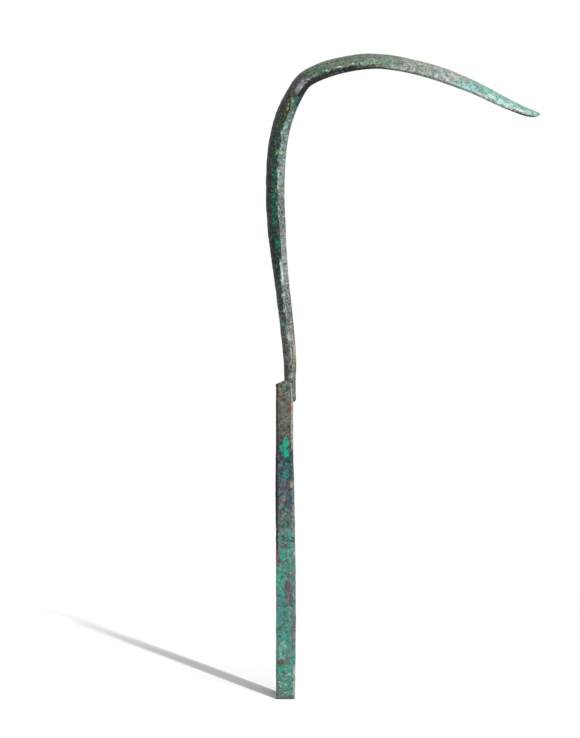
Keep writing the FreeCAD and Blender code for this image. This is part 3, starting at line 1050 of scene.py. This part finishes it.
    def _bend_strip(self, piece: Piece, rows: list[float]) -> None:
        """Puts each point of the flat strip where the bent sheet has it.

        Args:
            piece: The strip.
            rows: Distance along of each row.
        """
        flat = np.array([tuple(vertex.co) for vertex in piece.data.vertices])
        offset = np.rint(flat[:, 0] * (self.half - 1)).astype(int)
        row = np.rint((flat[:, 1] + 1) / 2 * (len(rows) - 1)).astype(int)
        places, lays = np.zeros((len(flat), 3)), np.zeros((len(flat), 3))
        for i, along in enumerate(rows):
            x, z, heading = self.back_point(along)
            outline = self.half_outline(self.section(along))
            for index in np.flatnonzero(row == i):
                depth, side, band = outline[abs(offset[index])]
                lift = self._tab_lift(along, depth) if band > 1 else 0.0
                height = z - depth * math.sin(heading) + lift
                places[index] = (x + depth * math.cos(heading), side * np.sign(offset[index]), height)
                lays[index] = (along, depth, band)
        piece.data.vertices.foreach_set("co", (places * MM).ravel())
        attribute = piece.data.attributes.new("lay", "FLOAT_VECTOR", "POINT")
        attribute.data.foreach_set("vector", lays.ravel())
        piece.data.update()

    def _tab_lift(self, along: float, depth: float) -> float:
        """How far a point of a tab is moved up, so that the tab ends on a slope."""
        top = self.handle_top - self.root_height
        share = min(1.0, max(0.0, (top - along) / (self.handle_top - self.tab_end)))
        return share * (depth - self.tab_middle) * math.tan(math.radians(self.tab_slope))

    def _weigh(self, piece: Piece) -> None:
        """Marks how thick the sheet is left towards its point, and how uneven towards its lips."""
        thickness = piece.vertex_groups.new(name="thickness")
        relief = piece.vertex_groups.new(name="relief")
        for vertex, lay in zip(piece.data.vertices, piece.data.attributes["lay"].data):
            along, _, band = lay.vector
            left = (self.end - along) / (self.end - self.point_start)
            thickness.add([vertex.index], min(1.0, max(0.0, left)), "REPLACE")
            calm = min(1.0, max(0.0, band - 1))
            relief.add([vertex.index], 1 - (1 - self.lip_relief) * calm, "REPLACE")

    def _cut_root(self, piece: Piece) -> None:
        """Cuts the notch for the front plate and the ends of the two tabs."""
        tang_angle = math.radians(self.bend_angles[self.tang_columns])
        tang = self.root.ridge * (1 - math.cos(tang_angle)) + self.notch_play
        ridge = self.root.ridge - self.notch_play
        with editing(piece, "FACE") as mesh:
            for face in mesh.faces:
                centre = face.calc_center_median() / MM
                depth = centre.x - self.stem_back
                in_handle = centre.z < self.handle_top
                in_notch = tang < depth < ridge
                below_tab = depth > ridge and centre.z < self.tab_end - self.tab_margin
                face.select_set(in_handle and (in_notch or below_tab))
            bpy.ops.mesh.delete(type="FACE")
            bpy.ops.mesh.select_mode(type="VERT")
            bpy.ops.mesh.select_all(action="SELECT")
            bpy.ops.mesh.normals_make_consistent(inside=False)


def steady(places: Sequence[float], values: Sequence[float], place: float) -> float:
    """A smooth curve through values that never overshoots them.

    Args:
        places: Rising places of the values.
        values: The values.
        place: Where the curve is read.

    Returns:
        The curve's value there.
    """
    if place <= places[0]:
        return values[0]
    if place >= places[-1]:
        return values[-1]
    slopes = [(values[i + 1] - values[i]) / (places[i + 1] - places[i]) for i in range(len(places) - 1)]
    tangents = [slopes[0]]
    for before, after in zip(slopes, slopes[1:]):
        tangents.append(2 * before * after / (before + after) if before * after > 0 else 0.0)
    tangents.append(slopes[-1])
    i = max(k for k in range(len(slopes)) if places[k] <= place)
    span = places[i + 1] - places[i]
    t = (place - places[i]) / span
    rise = t * t * (3 - 2 * t)
    ease_out = t * (1 - t) ** 2 * span * tangents[i]
    ease_in = t * t * (1 - t) * span * tangents[i + 1]
    return values[i] + (values[i + 1] - values[i]) * rise + ease_out - ease_in


@dataclass
class Handle:
    """The hollow box handle: two wide plates, two narrow walls, and the pieces at its ends."""

    length: float = 112.3
    depth_end: float = 6.7
    front_line: tuple[Pair, ...] = (
        (0.0, 3.33), (14.0, 3.5), (30.0, 3.66), (44.0, 3.58), (60.0, 3.34),
        (80.0, 2.98), (88.0, 2.68), (100.0, 2.66), (112.3, 2.45),
    )
    back_line: tuple[Pair, ...] = ((0.0, -3.35), (50.0, -3.36), (78.0, -3.6), (92.0, -3.4), (112.3, -3.35))
    cuts: int = 40
    width_end: float = 15.4
    width_top: float = 13.0
    plate: float = 0.9
    plate_round: float = 0.6
    wall: float = 1.0
    cap: float = 1.2
    cap_round: float = 0.75
    shoulder: float = 1.0
    slot_width: float = 5.6
    slot_low: float = 20.0
    slot_length: float = 72.0
    slot_sides: int = 48
    voxel: float = 0.24
    cap_voxel: float = 0.25
    overlap: float = 0.3
    reliefs: tuple[Relief, ...] = (
        Relief(Grain.LUMPS, 8.0, 0.25),
        Relief(Grain.LUMPS, 2.2, 0.2),
        Relief(Grain.PITS, 1.5, 0.12),
    )

    def front(self, z: float) -> float:
        """X of the front face at a height."""
        return steady(*zip(*self.front_line), z)

    def back(self, z: float) -> float:
        """X of the back face at a height."""
        return steady(*zip(*self.back_line), z)

    def swelling(self, z: float) -> float:
        """How far the front face swells out from the straight one of the model at a height."""
        straight = self.depth_end / 2 + (self.front_line[-1][1] - self.depth_end / 2) * z / self.length
        return self.front(z) - straight

    def half(self, z: float) -> float:
        """Half the handle's width at a height."""
        return (self.width_end + (self.width_top - self.width_end) * z / self.length) / 2

    def block(
        self,
        name: str,
        heights: Pair,
        across: Callable[[float], Pair],
        sides: Callable[[float], Pair] | None = None,
    ) -> Piece:
        """A tapered block.

        Args:
            name: Its name.
            heights: Its lowest and highest Z.
            across: Its lowest and highest X at a height.
            sides: Its lowest and highest Y at a height, if it isn't as wide as the handle.

        Returns:
            The block.
        """
        sides = sides or (lambda z: (-self.half(z), self.half(z)))
        bpy.ops.mesh.primitive_cube_add(size=2)
        piece = named(name)
        with editing(piece, "EDGE") as mesh:
            for edge in mesh.edges:
                start, end = (vertex.co for vertex in edge.verts)
                edge.select_set(abs(end.z - start.z) > 1)
            bpy.ops.mesh.subdivide(number_cuts=self.cuts)
        low, high = heights
        for vertex in piece.data.vertices:
            z = low + (high - low) * (vertex.co.z + 1) / 2
            vertex.co = Vector((across(z)[vertex.co.x > 0], sides(z)[vertex.co.y > 0], z)) * MM
        return piece

    def soften(self, piece: Piece, radius: float, wanted: Callable[[Vector, Vector], bool]) -> None:
        """Rounds edges.

        Args:
            piece: The piece.
            radius: Their radius.
            wanted: Whether an edge is rounded, from its middle in millimetres and its direction.
        """
        with editing(piece, "EDGE") as mesh:
            for edge in mesh.edges:
                start, end = (vertex.co for vertex in edge.verts)
                edge.select_set(wanted((start + end) / 2 / MM, (end - start).normalized()))
            bpy.ops.mesh.bevel(offset=radius * MM, segments=3, affect="EDGES")

    def cut_slot(self, piece: Piece) -> None:
        """Cuts the strap slot through a plate."""
        radius = self.slot_width / 2
        low, high = self.slot_low + radius, self.slot_low + self.slot_length - radius
        bpy.ops.mesh.primitive_cylinder_add(
            vertices=self.slot_sides, radius=radius * MM, depth=3 * self.depth_end * MM,
            location=(0, 0, low * MM), rotation=(0, math.pi / 2, 0),
        )
        cutter = named("slot_cutter")
        bpy.ops.object.transform_apply(location=True, rotation=True, scale=True)
        with editing(cutter) as mesh:
            for vertex in mesh.verts:
                vertex.select_set(vertex.co.z > (low + 0.01) * MM)
            mesh.select_flush_mode()
            bpy.ops.transform.translate(value=(0, 0, (high - low) * MM))
        modify(piece, "BOOLEAN", object=cutter, operation="DIFFERENCE", solver="EXACT")
        bpy.data.objects.remove(cutter)

    def cast(self, piece: Piece, voxel: float) -> Piece:
        """Gives a piece a fine mesh and the unevenness of old metal.

        Args:
            piece: The piece, with its clean shape.
            voxel: The mesh's fineness.

        Returns:
            The same piece.
        """
        modify(piece, "REMESH", mode="VOXEL", voxel_size=voxel * MM, use_smooth_shade=True)
        modify(piece, "SMOOTH", factor=0.5, iterations=1)
        for relief in self.reliefs:
            relief.press(piece)
        return piece

    def wide_plate(self, front: bool) -> Piece:
        """A wide plate with its strap slot.

        Args:
            front: Whether it is the plate under the hook.

        Returns:
            The plate.
        """
        if front:
            name, top = "wide_plate_front", self.length
            inner, outer, facing = lambda z: self.front(z) - self.plate, self.front, 1
        else:
            name, top = "wide_plate_back", self.length - self.shoulder
            inner, outer, facing = self.back, lambda z: self.back(z) + self.plate, -1
        piece = self.block(name, (self.cap - self.overlap, top), lambda z: (inner(z), outer(z)))

        def outer_long(point: Vector, direction: Vector) -> bool:
            """Whether an edge is one of the outer long ones."""
            middle = (inner(point.z) + outer(point.z)) / 2
            on_side = abs(abs(point.y) - self.half(point.z)) < 0.1
            return abs(direction.z) > 0.9 and on_side and (point.x - middle) * facing > 0

        self.soften(piece, self.plate_round, outer_long)
        self.cut_slot(piece)
        return self.cast(piece, self.voxel)

    def narrow_wall(self, left: bool) -> Piece:
        """A narrow wall between the wide plates.

        Args:
            left: Whether it is the one on the +Y side.

        Returns:
            The wall.
        """
        name = "narrow_wall_left" if left else "narrow_wall_right"

        inset = self.plate - self.overlap

        def sides(z: float) -> Pair:
            """Its lowest and highest Y at a height."""
            inner, outer = self.half(z) - self.wall, self.half(z)
            return (inner, outer) if left else (-outer, -inner)

        def across(z: float) -> Pair:
            """Its lowest and highest X at a height."""
            return self.back(z) + inset, self.front(z) - inset

        heights = (self.cap - self.overlap, self.length - self.shoulder)
        return self.cast(self.block(name, heights, across, sides), self.voxel)

    def end_cap(self) -> Piece:
        """The plate that closes the handle's end."""
        piece = self.block("end_cap_plate", (0.0, self.cap), lambda z: (self.back(z), self.front(z)))
        self.soften(piece, self.cap_round, lambda point, direction: point.z < 0.01)
        return self.cast(piece, self.cap_voxel)

    def dress(self, bronze: Material) -> None:
        """Builds and finishes every piece of the handle.

        Args:
            bronze: The handle's finish.
        """
        for node, front in (("front_plate", True), ("back_plate", False)):
            dress(self.wide_plate(front), node, bronze)
        for node, left in (("side_wall_left", True), ("side_wall_right", False)):
            dress(self.narrow_wall(left), node, bronze)
        dress(self.end_cap(), "end_cap", bronze)


@dataclass
class Joints:
    """The cap, the solder and the lead that join the blade to its handle and the plates to each other."""

    frame: dict[str, object]
    handle: Handle
    voxel: float = 0.22
    swell: float = 0.12
    reliefs: tuple[Relief, ...] = (Relief(Grain.LUMPS, 1.8, 0.25), Relief(Grain.PITS, 1.0, 0.1))

    def copy(self, node: str, name: str) -> Piece:
        """A copy of a node of the model, merged and given a fine, lumpy surface.

        Args:
            node: The node.
            name: The copy's name.

        Returns:
            The copy.
        """
        source = self.frame["nodes"][node]
        piece = bpy.data.objects.new(name, source.data.copy())
        bpy.context.scene.collection.objects.link(piece)
        with editing(piece):
            bpy.ops.mesh.select_all(action="SELECT")
            bpy.ops.mesh.remove_doubles(threshold=0.002 * MM)
            bpy.ops.mesh.normals_make_consistent(inside=False)
        for vertex in piece.data.vertices:
            if vertex.co.x > 0:
                vertex.co.x += self.handle.swelling(vertex.co.z / MM) * MM
        modify(piece, "REMESH", mode="VOXEL", voxel_size=self.voxel * MM, use_smooth_shade=True)
        modify(piece, "DISPLACE", strength=self.swell * MM, mid_level=0.0)
        modify(piece, "SMOOTH", factor=0.5, iterations=2)
        for relief in self.reliefs:
            relief.press(piece)
        return piece

    def dress(self, bronze: Material) -> None:
        """Builds and finishes the pieces that join the others.

        Args:
            bronze: The handle's finish.
        """
        solder, lead = SOLDER_FINISH.make(), LEAD_FINISH.make()
        for node, name, slot, material in (
            ("shoulder_cap", "shoulder_plate", "handle_bronze", bronze),
            ("stem_solder", "stem_bank", "solder", solder),
            ("seam_solder", "seam_fillets", "solder", solder),
        ):
            dress(self.copy(node, name), node, material)
        for node, material in (("cap_solder", solder), ("tang_bedding", lead)):
            hidden = self.frame["nodes"][node]
            hidden.data.materials.clear()
            hidden.data.materials.append(material)


@dataclass(frozen=True)
class Lamp:
    """A far, soft lamp: where it is from the object, its strength, and how many degrees wide it looks."""

    name: str
    towards: Triple
    strength: float
    angle: float

    def light(self, pieces: bpy.types.Collection) -> None:
        """Hangs the lamp, for these pieces only."""
        data = bpy.data.lights.new(self.name, "SUN")
        data.energy = self.strength
        data.angle = math.radians(self.angle)
        lamp = bpy.data.objects.new(self.name, data)
        lamp.rotation_mode = "QUATERNION"
        lamp.rotation_quaternion = Vector(self.towards).to_track_quat("Z", "Y")
        bpy.context.scene.collection.objects.link(lamp)
        lamp.light_linking.receiver_collection = pieces


@dataclass
class Studio:
    """The camera, the lamps, and the white floor with the object's shadow."""

    look_x: float = 1.6
    look_z: float = 117.7
    distance: float = 4000.0
    view_height: float = 263.5
    sensor: float = 36.0
    sight: float = 100.0
    floor_sides: int = 64
    floor_half: float = 7.0
    floor_tone: float = 0.375
    shown_floor: float = 0.5
    ambient: float = 0.4
    lamps: tuple[Lamp, ...] = (
        Lamp("key", (0.75, -1.0, 0.75), 2.0, 30.0),
        Lamp("fill", (-1.0, -0.8, 0.2), 0.25, 60.0),
    )
    shadows: tuple[Lamp, ...] = (
        Lamp("shadow", (0.0787, -1.0, 0.093), 34.0, 0.3),
        Lamp("contact", (0.055, -1.0, 0.093), 22.5, 9.0),
    )
    shadow_fades: Pair = (450.0, 1650.0)

    def camera(self) -> None:
        """A level camera with a long lens, as far away as the photograph's."""
        data = bpy.data.cameras.new("camera")
        data.sensor_width = self.sensor
        data.lens = self.sensor * self.distance / self.view_height
        data.clip_end = self.sight
        camera = bpy.data.objects.new("camera", data)
        camera.location = (self.look_x * MM, -self.distance * MM, self.look_z * MM)
        camera.rotation_euler = (math.pi / 2, 0, 0)
        bpy.context.scene.collection.objects.link(camera)
        bpy.context.scene.camera = camera

    def world(self) -> None:
        """An even pale surround, white to the camera and in reflections."""
        graph = Graph(bpy.data.worlds.new("surround"))
        camera, glossy = (graph.node("LightPath", output=f"Is {ray} Ray") for ray in ("Camera", "Glossy"))
        strength = graph.node("MapRange", {}, {"Value": camera.most(glossy), "To Min": self.ambient})
        surround = graph.node("Background", {}, {"Color": ALL_WHITE, "Strength": strength})
        graph.node("OutputWorld", {}, {"Surface": surround})
        bpy.context.scene.world = graph.owner

    def floor(self) -> Piece:
        """The floor, which the camera sees white where the shadow doesn't fall.

        Returns:
            The floor.
        """
        sides, radius = self.floor_sides, self.floor_half
        bpy.ops.mesh.primitive_circle_add(vertices=sides, radius=radius, fill_type="NGON")
        floor = named("floor")
        graph = Graph(bpy.data.materials.new("floor_paper"))
        seen = graph.node("LightPath", output="Is Camera Ray")
        plain, shown = (
            graph.node("BsdfDiffuse", {}, {"Color": (tone, tone, tone, 1.0)})
            for tone in (self.floor_tone, self.shown_floor)
        )
        white = graph.node("Emission", {}, {"Color": ALL_WHITE, "Strength": 1.0})
        reach = graph.node("VectorMath", {"operation": "LENGTH"}, {0: graph.place()}, "Value")
        faded = graph.node("MixShader", {}, {0: reach.step(*self.shadow_fades), 1: shown, 2: white})
        surface = graph.node("MixShader", {}, {0: seen, 1: plain, 2: faded})
        graph.node("OutputMaterial", {}, {"Surface": surface})
        floor.data.materials.append(graph.owner)
        floor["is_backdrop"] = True
        return floor

    def build(self) -> None:
        """Sets everything up, each lamp with what it lights."""
        self.camera()
        self.world()
        floor = self.floor()
        lit, ground = (bpy.data.collections.new(name) for name in ("object_lit", "floor_lit"))
        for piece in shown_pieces():
            lit.objects.link(piece)
        ground.objects.link(floor)
        for lamps, pieces in ((self.lamps, lit), (self.shadows, ground)):
            for lamp in lamps:
                lamp.light(pieces)


def main() -> None:
    """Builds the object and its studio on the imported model."""
    logging.basicConfig(level=logging.INFO, format="%(message)s")
    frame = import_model()
    bpy.context.scene.view_settings.view_transform = "Standard"
    dress(Blade().build(), "blade", BLADE_PATINA_AND_PAINTED_LIGHT.make())
    handle = Handle()
    bronze = HANDLE_PATINA_AND_PAINTED_LIGHT.make()
    handle.dress(bronze)
    Joints(frame, handle).dress(bronze)
    Studio().build()


if __name__ == "__main__":
    main()
